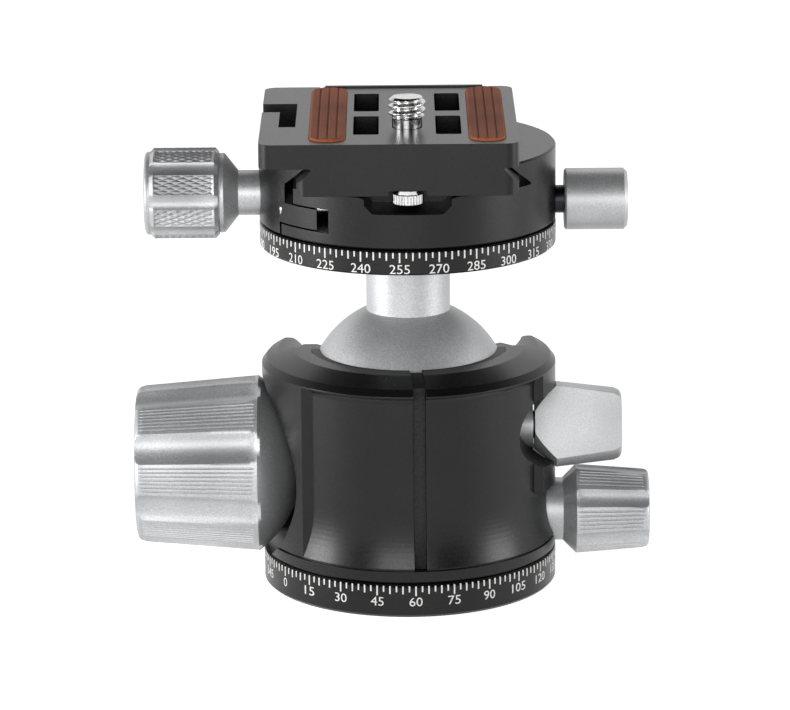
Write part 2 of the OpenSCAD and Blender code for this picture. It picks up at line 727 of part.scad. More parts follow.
module graduated_ring() {
  color("#232427") difference() {
    union() {
      translate([0, 0, ring_z]) rotate_extrude() polygon([[0, 0], [body_r - edge, 0], [body_r, edge],
        [body_r, ring_h - edge], [body_r - edge, ring_h], [0, ring_h]]);
      translate([0, 0, ring_z]) cylinder(r = hub_r, h = ring_h + hub_h);
      translate([0, 0, ring_z - stem_r / 4 + fit]) cylinder(r = stem_screw_head_r, h = ring_h);
    }
    translate([0, 0, ring_z - stem_r]) cylinder(r = stem_screw_r, h = stem_r + ring_h + hub_h + lap);
    ring(upper_bearing_out + fit, upper_bearing_in - fit, ring_top - bearing_depth, bearing_depth + lap);
  }
}

module retaining_disc() {
  color("#8c8e92") ring(disc_r, stem_screw_r, hub_top, disc_h);
}

module stem_screw() {
  head_z = hub_top + disc_h;
  color("#9a9ca0") difference() {
    union() {
      translate([0, 0, head_z]) cylinder(r = stem_screw_head_r, h = stem_screw_head_h);
      translate([0, 0, ring_z - stem_screw_depth + edge])
        cylinder(r = stem_screw_r, h = head_z - ring_z + stem_screw_depth);
    }
    translate([0, 0, head_z]) cylinder(r = stem_screw_r * 0.8, h = stem_r, $fn = 6);
  }
}

module upper_bearing_ring() {
  color("#e8e6df") ring(upper_bearing_out, upper_bearing_in, ring_top - bearing_depth,
    bearing_depth + air_gap - fit);
}

// Half outline of a jaw over the deck: bevel, wall and outside
module jaw_side(tip_x, wall_x, foot_z) {
  polygon([[tip_x, clamp_top], [wall_x, clamp_top - (wall_x - tip_x)], [wall_x, foot_z],
    [2 * body_r, foot_z], [2 * body_r, clamp_top]]);
}

// Cuts or keeps a profile in X and Z, run along Y
module along_y(length) {
  translate([0, length / 2, 0]) rotate([90, 0, 0]) linear_extrude(length) children();
}

tooth_x = neck_half + (neck_z - clamp_top) + jaw_gap;

module clamp_body() {
  color("#1d1e20") difference() {
    translate([0, 0, clamp_z]) rotate_extrude() polygon([[0, 0], [body_r - edge, 0], [body_r, edge],
      [body_r, clamp_h - edge], [body_r - edge, clamp_h], [0, clamp_h]]);
    along_y(3 * body_r) difference() {
      translate([-2 * body_r, deck_z]) square([4 * body_r, clamp_h]);
      jaw_side(tooth_x, jaw_wall_x, deck_z);
    }
    along_y(3 * body_r) {
      translate([-2 * body_r, slot_z]) square([2 * body_r - slot_end_x, slot_h]);
      translate([-2 * body_r, slot_z + tongue_h]) square([2 * body_r - jaw_wall_x + 5 * edge, clamp_h]);
      translate([-2 * body_r, clamp_z - lap]) square([2 * body_r - jaw_foot_x + air_gap, clamp_h]);
    }
    for (side = [-1, 1]) deck_relief(side);
    translate([0, 0, clamp_z - lap]) cylinder(r = hub_r + fit, h = clamp_h);
    translate([0, 0, counter_z]) cylinder(r = counter_r, h = clamp_h);
    rod_x(clamp_screw_r + fit, -jaw_foot_x, -counter_r + lap, clamp_axis_z);
    for (y = [-guide_y, guide_y]) rod_x(guide_r + fit, -slot_end_x - lap, -hub_r, clamp_axis_z, y);
    rod_x(screw_r + fit, hub_r + 2 * clamp_pad_r, body_r + lap, clamp_pan_z);
    rod_x(clamp_pad_r + fit, hub_r - lap, body_r, clamp_pan_z);
  }
}

// Pocket that the plate's stop screw moves in, with bevelled lower corners
module deck_relief(side) {
  in_y = body_r - relief_len;
  corner = relief_depth / 2;
  translate([0, side * (in_y + body_r / 2), 0]) along_y(body_r) polygon([
    [-relief_half - 2 * relief_depth + corner, deck_z + lap], [-relief_half, deck_z - edge],
    [-relief_half, deck_z - relief_depth + corner], [-relief_half + corner, deck_z - relief_depth],
    [relief_half - corner, deck_z - relief_depth], [relief_half, deck_z - relief_depth + corner],
    [relief_half, deck_z - edge], [relief_half + 2 * relief_depth - corner, deck_z + lap]]);
}

module upper_glide_washer() {
  z0 = counter_z + fit;
  color("#e8e6df") ring(disc_r - fit, hub_r + 2 * fit, z0, hub_top - fit - z0);
}

module clamp_jaw() {
  color("#1d1e20") difference() {
    intersection() {
      translate([0, 0, clamp_z]) rotate_extrude() polygon([[0, 0], [body_r - edge, 0], [body_r, edge],
        [body_r, clamp_h - edge], [body_r - edge, clamp_h], [0, clamp_h]]);
      along_y(3 * body_r) mirror([1, 0]) union() {
        jaw_side(tooth_x, jaw_wall_x, tongue_z);
        translate([tongue_tip_x, tongue_z]) square([2 * body_r, tongue_h]);
        translate([jaw_foot_x, clamp_z]) square([2 * body_r, clamp_h]);
      }
    }
    rod_x(clamp_screw_r + fit, 0, -body_r - lap, clamp_axis_z);
    rod_x(clamp_neck_r + fit, -body_r + edge * 4, -body_r - lap, clamp_axis_z);
    for (y = [-guide_y, guide_y]) rod_x(guide_r, -slot_end_x, -jaw_foot_x, clamp_axis_z, y);
    for (y = [-spring_y, spring_y]) rod_x(spring_r + fit, -slot_end_x, -jaw_wall_x, clamp_axis_z, y);
  }
}

module guide_pins() {
  color("#9a9ca0") for (y = [-guide_y, guide_y])
    rod_x(guide_r, -jaw_foot_x + fit, -counter_r, clamp_axis_z, y);
}

module jaw_springs() {
  color("#9a9ca0") for (y = [-spring_y, spring_y])
    rod_x(spring_r, -jaw_wall_x + fit, -slot_end_x - fit, clamp_axis_z, y);
}

module clamp_knob() {
  tip = edge * 3;
  collar_x = clamp_cone_x + clamp_collar_r - clamp_neck_r - tip;
  color("#b9babc") difference() {
    turned_x([[body_r - edge * 3, 0], [body_r - edge * 3, clamp_neck_r], [clamp_cone_x, clamp_neck_r],
      [collar_x, clamp_collar_r - edge], [collar_x, clamp_collar_r], [barrel_x - edge, clamp_collar_r],
      [barrel_x - edge, clamp_collar_r - edge], [barrel_x, clamp_collar_r - edge],
      [barrel_x + tip / 2, clamp_knob_r], [clamp_out_x - tip, clamp_knob_r],
      [clamp_out_x, clamp_knob_r - tip], [clamp_out_x, 0]], clamp_axis_z, -1);
    flutes_x(clamp_flutes, clamp_flute_r, clamp_flute_depth, 0, clamp_knob_r, barrel_x,
      clamp_knob_r, clamp_out_x, clamp_axis_z, -1);
    rod_x(clamp_screw_r, 0, -clamp_out_x + 2 * clamp_screw_r, clamp_axis_z);
  }
}

module clamp_screw() {
  color("#6d6f73")
    rod_x(clamp_screw_r, -counter_r - air_gap, -clamp_out_x + 2 * clamp_screw_r, clamp_axis_z);
}

module clamp_brake_pad() {
  color("#b08d57") rod_x(clamp_pad_r, hub_r + fit, hub_r + 2 * clamp_pad_r + fit, clamp_pan_z);
}

module clamp_pan_knob() {
  tip = edge * 2;
  color("#b9babc") difference() {
    turned_x([[clamp_pan_in_x, 0], [clamp_pan_in_x, clamp_pan_r - edge],
      [clamp_pan_in_x + edge, clamp_pan_r], [clamp_pan_out_x - tip, clamp_pan_r],
      [clamp_pan_out_x, clamp_pan_r - tip], [clamp_pan_out_x, 0]],
      clamp_pan_z, 1);
    rod_x(screw_r, 0, clamp_pan_out_x - clamp_pan_r, clamp_pan_z);
  }
}

module clamp_pan_screw() {
  color("#1d1e20")
    rod_x(screw_r, hub_r + 2 * clamp_pad_r + 2 * fit, clamp_pan_out_x - clamp_pan_r, clamp_pan_z);
}

// A rectangle from [x0, y0] to [x1, y1] with rounded corners, from squares and circles
module rounded(x0, y0, x1, y1, r) {
  translate([x0 + r, y0]) square([x1 - x0 - 2 * r, y1 - y0]);
  translate([x0, y0 + r]) square([x1 - x0, y1 - y0 - 2 * r]);
  for (x = [x0 + r, x1 - r], y = [y0 + r, y1 - r]) translate([x, y]) circle(r = r);
}

module quick_plate() {
  window_mid = 3 * air_gap;
  hook_y = window_len / 2 + plate_corner;
  hook_w = window_w * 2 / 3;
  color("#2a2b2e") difference() {
    union() {
      translate([0, 0, slab_z]) linear_extrude(slab_h)
        rounded(-slab_left, -plate_half, slab_right, plate_half, plate_corner);
      intersection() {
        translate([0, 0, plate_z]) linear_extrude(slab_z - plate_z)
          rounded(-dovetail_half, -plate_half, dovetail_half, plate_half, plate_corner);
        along_y(4 * body_r) polygon([for (side = [-1, 1]) for (p = side < 0 ?
          [[dovetail_half - 2 * edge, plate_z], [dovetail_half, plate_z + 2 * edge],
           [dovetail_half, plate_z + dovetail_side], [neck_half, neck_z], [neck_half, slab_z]] :
          [[neck_half, slab_z], [neck_half, neck_z], [dovetail_half, plate_z + dovetail_side],
           [dovetail_half, plate_z + 2 * edge], [dovetail_half - 2 * edge, plate_z]])
          [side * p[0], p[1]]]);
      }
      translate([-pad_x - 3 * edge, plate_half - 3 * edge, plate_top - lap])
        cube([2 * pad_x + 3 * edge, 3 * edge, lap + lip_h]);
    }
    // slot and channel of the camera screw
    translate([0, 0, plate_z - lap]) linear_extrude(plate_top - plate_z + 2 * lap)
      rounded(-screw_slot_half, -screw_travel - screw_slot_half, screw_slot_half,
        screw_travel + screw_slot_half, screw_slot_half - fit);
    translate([0, 0, plate_z - lap]) linear_extrude(channel_z - plate_z + lap)
      rounded(-channel_half, -screw_travel - channel_half, channel_half,
        screw_travel + channel_half, channel_half - fit);
    // four windows
    for (x = [-window_x, window_x], y = [-1, 1])
      translate([x, window_mid + y * (window_len + 2 * plate_corner - edge) / 2, plate_z - lap])
        linear_extrude(plate_top - plate_z + 2 * lap)
          rounded(-window_w / 2, -window_len / 2, window_w / 2, window_len / 2, window_corner);
    // hooked slot in the overhang
    translate([0, 0, slab_z - lap]) linear_extrude(slab_h + 2 * lap) {
      translate([-slab_left - lap, hook_y - 3 * plate_corner - edge])
        square([slab_left - slab_right - edge + lap, 3 * plate_corner + edge]);
      translate([-slab_right - edge - hook_w, -hook_y]) square([hook_w, 2 * hook_y]);
    }
    // seats of the rubber pads
    for (x = [-pad_x, pad_x]) translate([x, 0, plate_top - pad_seat]) linear_extrude(lap)
      rounded(-pad_w / 2 - fit, -pad_len / 2 - fit, pad_w / 2 + fit, pad_len / 2 + fit, pad_w / 2 - fit);
    // notches in the back edge
    for (x = [-pad_x - 5 * edge, pad_x + 3 * edge]) translate([x, plate_half, plate_top + lip_h])
      rotate([0, 45, 0]) cube([3 * edge, 4 * edge, 3 * edge], center = true);
    // seats and front relief of the stop screws
    for (side = [-1, 1]) {
      translate([0, side * stop_y, plate_z - lap]) cylinder(r = stop_head_r + air_gap, h = lap + 3 * edge);
      translate([-stop_head_r - 2 * edge, side > 0 ? stop_y : -plate_half - lap, plate_z - lap])
        cube([2 * stop_head_r + 4 * edge, plate_half - stop_y + lap, lap + 3 * edge]);
      translate([0, side * stop_y, plate_z - lap]) cylinder(r = drum_screw_r, h = slab_z - plate_z);
    }
  }
}

module rubber_pads() {
  color("#7d4a38") for (x = [-pad_x, pad_x]) translate([x, 0, plate_top - pad_seat])
    linear_extrude(pad_seat + pad_proud)
      rounded(-pad_w / 2, -pad_len / 2, pad_w / 2, pad_len / 2, pad_w / 2 - fit);
}

module stop_screws() {
  top = plate_z + 3 * edge;
  color("#d6d7d9") for (side = [-1, 1]) translate([0, side * stop_y, 0]) difference() {
    union() {
      translate([0, 0, top - stop_head_h]) cylinder(r = stop_head_r, h = stop_head_h);
      translate([0, 0, top - edge]) cylinder(r = drum_screw_r, h = slab_z - lap - top);
    }
    translate([0, 0, top - stop_head_h - lap])
      cylinder(r = drum_screw_r * 0.85, h = stop_head_h / 2 + lap, $fn = 6);
  }
}

module screw_washer() {
  color("#3a3b3e") translate([0, -screw_travel, 0])
    ring(camera_head_r, camera_shank_r + fit, washer_z, washer_h);
}

module camera_screw() {
  tip = plate_top + camera_rise;
  color("#c9cacc") translate([0, -screw_travel, 0]) difference() {
    union() {
      translate([0, 0, camera_head_z]) cylinder(r = camera_head_r, h = camera_head_h);
      translate([0, 0, camera_head_z]) cylinder(r = camera_shank_r, h = tip - camera_head_z - edge);
      translate([0, 0, tip - camera_thread_len]) rotate_extrude() polygon([[0, 0],
        [camera_shank_r, 0], [camera_thread_r, camera_thread_r - camera_shank_r],
        [camera_thread_r, camera_thread_len - 2 * edge], [camera_thread_r - 2 * edge, camera_thread_len],
        [0, camera_thread_len]]);
    }
    translate([-camera_head_r - lap, -edge * 2, camera_head_z - lap])
      cube([2 * camera_head_r + 2 * lap, 4 * edge, lap + camera_head_h / 2]);
  }
}

base_plate();
brake_drum();
drum_screws();
lower_bearing_ring();
housing();
split_strip();
floor_ring();
glide_washer();
snap_ring();
wave_washer();
ball_cup();
friction_collar();
lock_bush();
friction_bush();
lock_shoe();
main_lock_knob();
lock_spindle();
knob_retaining_screw();
friction_plug();
friction_knob();
friction_screw();
brake_pad();
pan_lock_knob();
pan_lock_screw();
ball_stem();
graduated_ring();
retaining_disc();
stem_screw();
upper_bearing_ring();
clamp_body();
upper_glide_washer();
clamp_jaw();
guide_pins();
jaw_springs();
clamp_knob();
clamp_screw();
clamp_brake_pad();
clamp_pan_knob();
clamp_pan_screw();
quick_plate();
rubber_pads();
stop_screws();
screw_washer();
camera_screw();
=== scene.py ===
# %% [markdown]
# # A tripod ball head on a white table
# The object is a small camera support: a black housing holds a silver ball, knobs
# clamp it, and a flat plate on top takes the camera. The solids come from the packed
# model. This lesson gives them their finishes, replaces the few pieces whose surface
# relief, such as ridges, knurls and threads, is finer than the solids carry, and prints
# the numbers and lines of both scales.

# %% Load the imported model
import json
import math

import bmesh
import bpy
import numpy as np
from mathutils import Matrix, Vector


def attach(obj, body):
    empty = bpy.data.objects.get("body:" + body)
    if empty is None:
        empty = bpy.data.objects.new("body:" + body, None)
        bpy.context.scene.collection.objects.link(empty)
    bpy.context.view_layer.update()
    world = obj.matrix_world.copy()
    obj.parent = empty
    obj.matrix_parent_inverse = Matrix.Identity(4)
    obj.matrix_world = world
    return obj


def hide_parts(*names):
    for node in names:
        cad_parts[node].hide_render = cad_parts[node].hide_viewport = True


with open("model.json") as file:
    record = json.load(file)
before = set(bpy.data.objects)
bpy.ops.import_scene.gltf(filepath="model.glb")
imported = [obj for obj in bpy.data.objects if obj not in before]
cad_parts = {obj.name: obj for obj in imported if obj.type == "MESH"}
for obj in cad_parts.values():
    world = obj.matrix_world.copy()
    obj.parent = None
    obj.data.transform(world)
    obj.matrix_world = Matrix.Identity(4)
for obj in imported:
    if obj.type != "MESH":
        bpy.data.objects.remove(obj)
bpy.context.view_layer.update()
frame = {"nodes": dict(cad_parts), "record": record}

# %% [markdown]
# ## Millimetres and colours
# Everything on the real head is measured in millimetres, while Blender counts metres,
# so one factor joins the two. Colours are written as the hex codes a person would pick
# from a swatch; a renderer adds light in a linear scale, so one function converts them.

# %% Units and swatches
MM = 0.001


def linear(code):
    """The linear colour of an sRGB hex code, with an alpha of one."""
    parts = [int(code[i:i + 2], 16) / 255 for i in (1, 3, 5)]
    return [*(p / 12.92 if p <= 0.04045 else ((p + 0.055) / 1.055) ** 2.4 for p in parts), 1]


print("mid grey becomes", round(linear("#808080")[0], 3))

# %% [markdown]
# ## One helper for shader nodes
# A material is a small graph. Each node needs three things: its kind, its settings and
# what feeds it. One helper does all three, so that a finish below reads like a recipe.

# %% Add a node
def add(tree, kind, inputs=None, stops=None, **settings):
    """A shader node with its settings; inputs are values or the sockets that feed it."""
    node = tree.nodes.new("ShaderNode" + kind)
    for name, value in settings.items():
        setattr(node, name, value)
    for place, value in (inputs or {}).items():
        if isinstance(value, bpy.types.NodeSocket):
            tree.links.new(value, node.inputs[place])
        else:
            node.inputs[place].default_value = value
    for element, (position, code) in zip(node.color_ramp.elements if stops else (), stops or ()):
        element.position, element.color = position, linear(code)
    return node


print("kinds of shader node to choose from:", sum(kind.startswith("ShaderNode") for kind in dir(bpy.types)))

# %% [markdown]
# ## What all the finishes share
# Every surface here was machined or moulded and then treated, so each shows a fine
# grain: its colour shifts a little, its roughness swings and it has tiny pits. Real
# edges are also never perfectly sharp, and a thin light line along them is what tells
# the eye that a black part is metal. The edges could be rounded in the mesh, but the
# solids are kept as they are, so a Bevel node bends the shading normal near each edge.

# %% A grained surface
CLOUD = 60
TINT = (0.12, 0.42)
SPECK = (0.3, 0.7)


def grained(name, dark, light, metallic, rough, grain, depth, edge=0.12, specular=0.5):
    """A two-tone grained material; rough is its range, and grain, pit depth and edge are in mm."""
    material = bpy.data.materials.new(name)
    material.use_nodes = True
    tree = material.node_tree
    place = add(tree, "TexCoord").outputs["Object"]
    speck = add(tree, "TexNoise", {"Vector": place, "Scale": 1 / (grain * MM),
                                   "Detail": 2.0}).outputs["Fac"]
    cloud = add(tree, "TexNoise", {"Vector": place, "Scale": 1 / (CLOUD * grain * MM),
                                   "Detail": 1.0}).outputs["Fac"]
    both = add(tree, "Math", {0: speck, 1: cloud}, operation="MULTIPLY").outputs[0]
    ramp = add(tree, "ValToRGB", {"Fac": both}, stops=((TINT[0], dark), (TINT[1], light)))
    swing = add(tree, "MapRange", {"Value": speck, "From Min": SPECK[0], "From Max": SPECK[1],
                                   "To Min": rough[0], "To Max": rough[1]})
    soft = add(tree, "Bevel", {"Radius": edge * MM}, samples=4)
    pits = add(tree, "Bump", {"Height": speck, "Strength": 1.0, "Distance": depth * MM,
                              "Normal": soft.outputs["Normal"]})
    shader = tree.nodes["Principled BSDF"]
    shader.inputs["Metallic"].default_value = metallic
    shader.inputs["Specular IOR Level"].default_value = specular
    tree.links.new(ramp.outputs["Color"], shader.inputs["Base Color"])
    tree.links.new(swing.outputs["Result"], shader.inputs["Roughness"])
    tree.links.new(pits.outputs["Normal"], shader.inputs["Normal"])
    return material


print("a cloud of tint is", CLOUD, "grains wide")

# %% [markdown]
# ## The finishes
# Black anodised aluminium was blasted with fine beads, then grown an oxide skin that
# holds black dye. The skin reflects like clear glass over black, so it isn't metallic
# here. Silver anodised aluminium had the same blasting and a clear skin, so the metal
# shows through as a bright satin. The skin scatters part of the light, so this is half
# way between a metal and a plain grey, and stays light even where it faces a black
# part. The beads leave pits of about 0.2 mm, which sit just at the size of a pixel in
# this picture.

# %% Anodised aluminium
black_anodised = grained("black anodised aluminium, bead blasted", "#0a0a0b", "#131314", 0.0,
                         (0.26, 0.36), 0.22, 0.004, specular=0.3)
silver_anodised = grained("silver anodised aluminium, bead blasted", "#a4a5a7", "#d0d1d2", 0.6,
                          (0.4, 0.54), 0.24, 0.012)
print("anodised finishes", black_anodised.name, "/", silver_anodised.name)

# %% [markdown]
# The camera screw and the stop screws are turned stainless steel, left bright. Lathe
# marks are finer than a pixel, so a low roughness with a little grain stands for them.
# Inner springs, rings and small screws are blackened steel, which is darker and duller.
# The brake pads are turned brass.

# %% Turned metals
stainless = grained("stainless steel, turned", "#b9babb", "#d6d6d5", 1.0, (0.16, 0.28), 0.3, 0.002)
blackened = grained("steel, blackened", "#26262a", "#3a3a3e", 1.0, (0.34, 0.48), 0.3, 0.004)
brass = grained("brass, turned", "#a5824a", "#c19a5c", 1.0, (0.26, 0.36), 0.3, 0.002)
print("metals", stainless.name, "/", blackened.name, "/", brass.name)

# %% [markdown]
# Glide washers and the cup under the ball are natural nylon, a milky white plastic. The
# collar in the mouth of the housing is a smooth black polymer. The slot down the front
# of the housing is filled with a grained elastic strip, rough enough to look black. The
# pads on the plate are moulded brown rubber with a fine stipple that stops a camera
# from creeping. The stipple breaks up reflections, so the rubber mirrors very little.

# %% Plastics and rubber
nylon = grained("nylon, natural, moulded", "#d3cfc2", "#e2dfd4", 0.0, (0.4, 0.5), 0.8, 0.004)
dark_polymer = grained("polymer, black, moulded", "#151516", "#1f1f20", 0.0, (0.45, 0.55), 0.4, 0.004)
grained_filler = grained("filler strip, black, coarse grain", "#0a0a0b", "#1d1d1f", 0.0,
                         (0.7, 0.9), 0.45, 0.12)
brown_rubber = grained("rubber, brown, moulded with a stipple", "#8c4a30", "#c2714c", 0.0,
                       (0.6, 0.75), 0.34, 0.05, specular=0.16)
print("plastics", nylon.name, "/", dark_polymer.name, "/", grained_filler.name, "/", brown_rubber.name)

# %% [markdown]
# The numbers and lines of both scales are cut by laser and look like flat off-white
# paint. Paint in a laser cut is slightly uneven, which a coarse grain stands for.

# %% Paint of the scales
scale_paint = grained("off-white paint in laser cut marks", "#dcdcd9", "#f2f2ef", 0.0,
                      (0.5, 0.6), 0.3, 0.003, edge=0.02)
FINISHES = {"black_anodised": black_anodised, "silver_anodised": silver_anodised,
            "stainless_steel": stainless, "blackened_steel": blackened, "brass": brass,
            "nylon": nylon, "dark_polymer": dark_polymer, "grained_filler": grained_filler,
            "brown_rubber": brown_rubber}
print(len(FINISHES), "finishes")

# %% [markdown]
# ## Dress the solids
# The record says which slot each solid takes its finish from, so one loop dresses them
# all. It also says which body each node rides on, for the pieces that come later.

# %% Give each solid its finish
HOME = {node: body for body, nodes in frame["record"]["behaviour"]["bodies"].items() for node in nodes}
SLOT = {part["node"]: part["material_slot"] for part in frame["record"]["subparts"]}
for node, solid in frame["nodes"].items():
    solid.data.materials.clear()
    solid.data.materials.append(FINISHES[SLOT[node]])

# %% [markdown]
# ## Meshes from rows of points
# A knob, a thread and a scale mark can all be written as rows of points, where each row
# is one step along the piece and each column one step round it. Quads join neighbours.
# Rows that shrink to a point close the ends. Cutting the relief out with booleans would
# leave ragged triangles, while rows keep every ridge even. Edges sharper than a limit
# stay sharp and the rest is shaded smooth, which is how a turned and milled part looks.

# %% Turn rows into a mesh
SHARP = math.radians(32)


def skin(name, grid, looped=False):
    """A mesh from rows x columns x 3 points in mm; columns always wrap, and rows do when looped."""
    rows, columns = grid.shape[:2]
    index = np.arange(rows * columns).reshape(rows, columns)
    below = index if looped else index[:-1]
    above = np.roll(index, -1, 0) if looped else index[1:]
    quads = np.stack([below, np.roll(below, -1, 1), np.roll(above, -1, 1), above], -1).reshape(-1, 4)
    mesh = bpy.data.meshes.new(name)
    mesh.from_pydata((grid.reshape(-1, 3) * MM).tolist(), [], quads.tolist())
    return mesh


def joined(name, meshes):
    """One mesh made of several."""
    work = bmesh.new()
    for mesh in meshes:
        work.from_mesh(mesh)
    whole = bpy.data.meshes.new(name)
    work.to_mesh(whole)
    work.free()
    return whole


print("edges over", round(math.degrees(SHARP)), "degrees stay sharp")

# %% [markdown]
# A mesh becomes a piece when its doubled points are merged, its faces look outwards, its
# sharp edges are marked and it rides on the body of the solid that it belongs to.

# %% Turn a mesh into a piece
def finish_mesh(name, mesh, node, material, sharp=SHARP):
    """The mesh as a piece that rides where the solid node rides."""
    work = bmesh.new()
    work.from_mesh(mesh)
    bmesh.ops.remove_doubles(work, verts=work.verts, dist=1e-7)
    bmesh.ops.recalc_face_normals(work, faces=work.faces)
    for face in work.faces:
        face.smooth = True
    for side in work.edges:
        side.smooth = len(side.link_faces) == 2 and side.calc_face_angle() < sharp
    open_sides = sum(len(side.link_faces) != 2 for side in work.edges)
    work.to_mesh(mesh)
    work.free()
    piece = bpy.data.objects.new(name, mesh)
    bpy.context.scene.collection.objects.link(piece)
    mesh.materials.append(material)
    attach(piece, HOME[node])
    print(name, len(mesh.polygons), "faces,", open_sides, "open edges")
    return piece


# %% [markdown]
# ## Knobs as a height over a turned shape
# A knob starts as a plain turned shape: rows of a distance from the head's axis and a
# radius. A flute is what a round cutter leaves when it runs along the knob, so at each
# angle the radius is the smaller of the turned one and the cutter's circle. The land
# between two flutes carries fine ridges or a diamond knurl, cut a little into it.

# %% Flutes and knob rows
def fluted(radius, angle, count, first, cutter, depth):
    """The radius left at each angle after count round cutters of that radius went in by depth."""
    step = 2 * math.pi / count
    off = (angle - first + step / 2) % step - step / 2
    centre = radius + cutter - depth
    inside = np.maximum(cutter ** 2 - (centre * np.sin(off)) ** 2, 0)
    cut = np.where(inside > 0, centre * np.cos(off) - np.sqrt(inside), radius)
    return np.minimum(radius, cut), off


def between(amount):
    """The amount, kept from nought to one."""
    return min(1, max(0, amount))


def along(*stretches):
    """Distances along a piece, from stretches of start, end and how many."""
    return np.concatenate([np.linspace(*stretch) for stretch in stretches])


def along_x(rows, angles, height, side, shape):
    """Points of a knob on the X axis at that height: shape(a, r, angles) is the radius at row (a, r)."""
    grid = np.empty((len(rows), len(angles), 3))
    for i, (a, r) in enumerate(rows):
        radius = shape(a, r, angles)
        grid[i, :, 0] = side * a
        grid[i, :, 1] = radius * np.sin(angles)
        grid[i, :, 2] = height - side * radius * np.cos(angles)
    return grid


def corner(a, r, size, steps=5):
    """Rows that round the outer corner of a knob at (a, r) by size, from its face to its side."""
    turn = np.linspace(0, math.pi / 2, steps)
    return [(a - size * (1 - math.cos(t)), r - size + size * math.sin(t)) for t in turn]


print("rows in a round corner:", len(corner(0, 0, 0)))

# %% [markdown]
# Both lock knobs are ridged alike. Their flutes start in a round, so the cutter's depth
# grows along a quarter circle. The ridges are what is left between narrow grooves that
# run along the land and stop short of its ends. The angles of the points follow from
# that: four at each groove, three on each crest and a few more in each flute.

# %% Ridges on the lands of a knob
GROOVE_POINTS = (-1.0, -0.4, 0.4, 1.0)
CREST_POINTS = (0.36, 0.5, 0.64)
LIP = 1.02
LEAST_DEPTH = 1e-4


def land_angles(knob):
    """The angles of the points round one knob, and of the grooves on a land."""
    step = 2 * math.pi / knob["flutes"]
    pitch = 2 * knob["land"] / knob["ridges"]
    grooves = -knob["land"] + pitch * np.arange(1, knob["ridges"])
    ledge = [g + k * knob["groove"] for g in grooves for k in GROOVE_POINTS]
    crest = [-knob["land"] + pitch * (k + f) for k in range(knob["ridges"]) for f in CREST_POINTS]
    lip = knob["land"] * LIP
    lands = np.sort(np.array(ledge + crest + [-lip, lip]))
    valley = np.linspace(lip, step - lip, knob["valley"] + 2)[1:-1]
    sector = np.concatenate([lands, valley])
    middle = knob["first"] + step / 2
    return np.concatenate([sector + middle + step * k for k in range(knob["flutes"])]), grooves


def cone(knob, a):
    """The radius of the barrel at distance a, which narrows evenly to its outer end."""
    return knob["r"] + (knob["end_r"] - knob["r"]) * (a - knob["mid"]) / (knob["out"] - knob["mid"])


def ridged(knob, grooves, turned):
    """The shape of a knob over its turned radius: flutes with a round start, and ridged lands."""
    step = 2 * math.pi / knob["flutes"]

    def shape(a, r, angles):
        if r < knob["plain"]:
            return np.full_like(angles, r)
        fade = between((a - knob["mid"] + knob["lead"]) / knob["run"])
        depth = max(knob["depth"] * math.sqrt(1 - (1 - fade) ** 2), LEAST_DEPTH)
        left, off = fluted(max(turned(a), r), angles, knob["flutes"], knob["first"], knob["cutter"], depth)
        room = min(a - knob["mid"] - knob["ridge_in"], knob["out"] - knob["ridge_out"] - a)
        ends = between(room / knob["ramp"])
        land = np.abs(off) - step / 2
        side = np.where(off > 0, land, -land)
        near = np.min(np.abs(side[:, None] - grooves[None, :]), 1)
        return np.minimum(left, r) - np.clip(1 - near / knob["groove"], 0, 1) * knob["groove_depth"] * ends

    return shape


print("points across one groove and its crest:", len(GROOVE_POINTS) + len(CREST_POINTS))

# %% [markdown]
# ## The main lock knob
# The large knob on the left clamps the ball. It narrows towards its outer end, carries
# eight milled flutes that end in a round, and eight fine ridges on each land between
# them. Its inner end is a dome that turns in a round recess of the housing. The sizes
# are distances from the head's axis, radii and depths in mm, and angles in radians. The
# steps along it are closer together where its shape changes.

# %% Sizes of the main lock knob
LOCK = dict(z=20.9, out=48.4, mid=26.7, r=15.6, end_r=13.8, round=1.2, face_r=9.0, dome=19.6, inner=19.85,
            bore=5.8, bore_end=32.2, pocket=5.5, pocket_end=42.9, spindle=4.0, plain=7.7,
            flutes=8, first=math.radians(26), cutter=4.3, depth=1.2, lead=0.5, run=2.6, valley=13,
            ridges=8, land=math.radians(11.2), groove=math.radians(0.62), groove_depth=0.3,
            ridge_in=0.5, ridge_out=0.9, ramp=0.5)
LOCK_STEPS = ((46.9, 46.3, 4), (45.0, 30.0, 12), (29.2, 26.7, 14), (26.2, 20.4, 14), (19.85, 19.85, 1))


def lock_radius(a):
    """The turned radius at distance a: a cone, then the dome."""
    centre = LOCK["mid"] + math.sqrt(LOCK["dome"] ** 2 - LOCK["r"] ** 2)
    if a < LOCK["mid"]:
        return math.sqrt(LOCK["dome"] ** 2 - (centre - a) ** 2)
    return cone(LOCK, a)


print("the dome is", round(lock_radius(LOCK["inner"]), 2), "mm in radius at its inner end")

# %% [markdown]
# A pocket in the outer face holds the screw that keeps the knob on its spindle. The
# rows run from that pocket over the outside and back along the bore, so they close in
# a loop and need no caps.

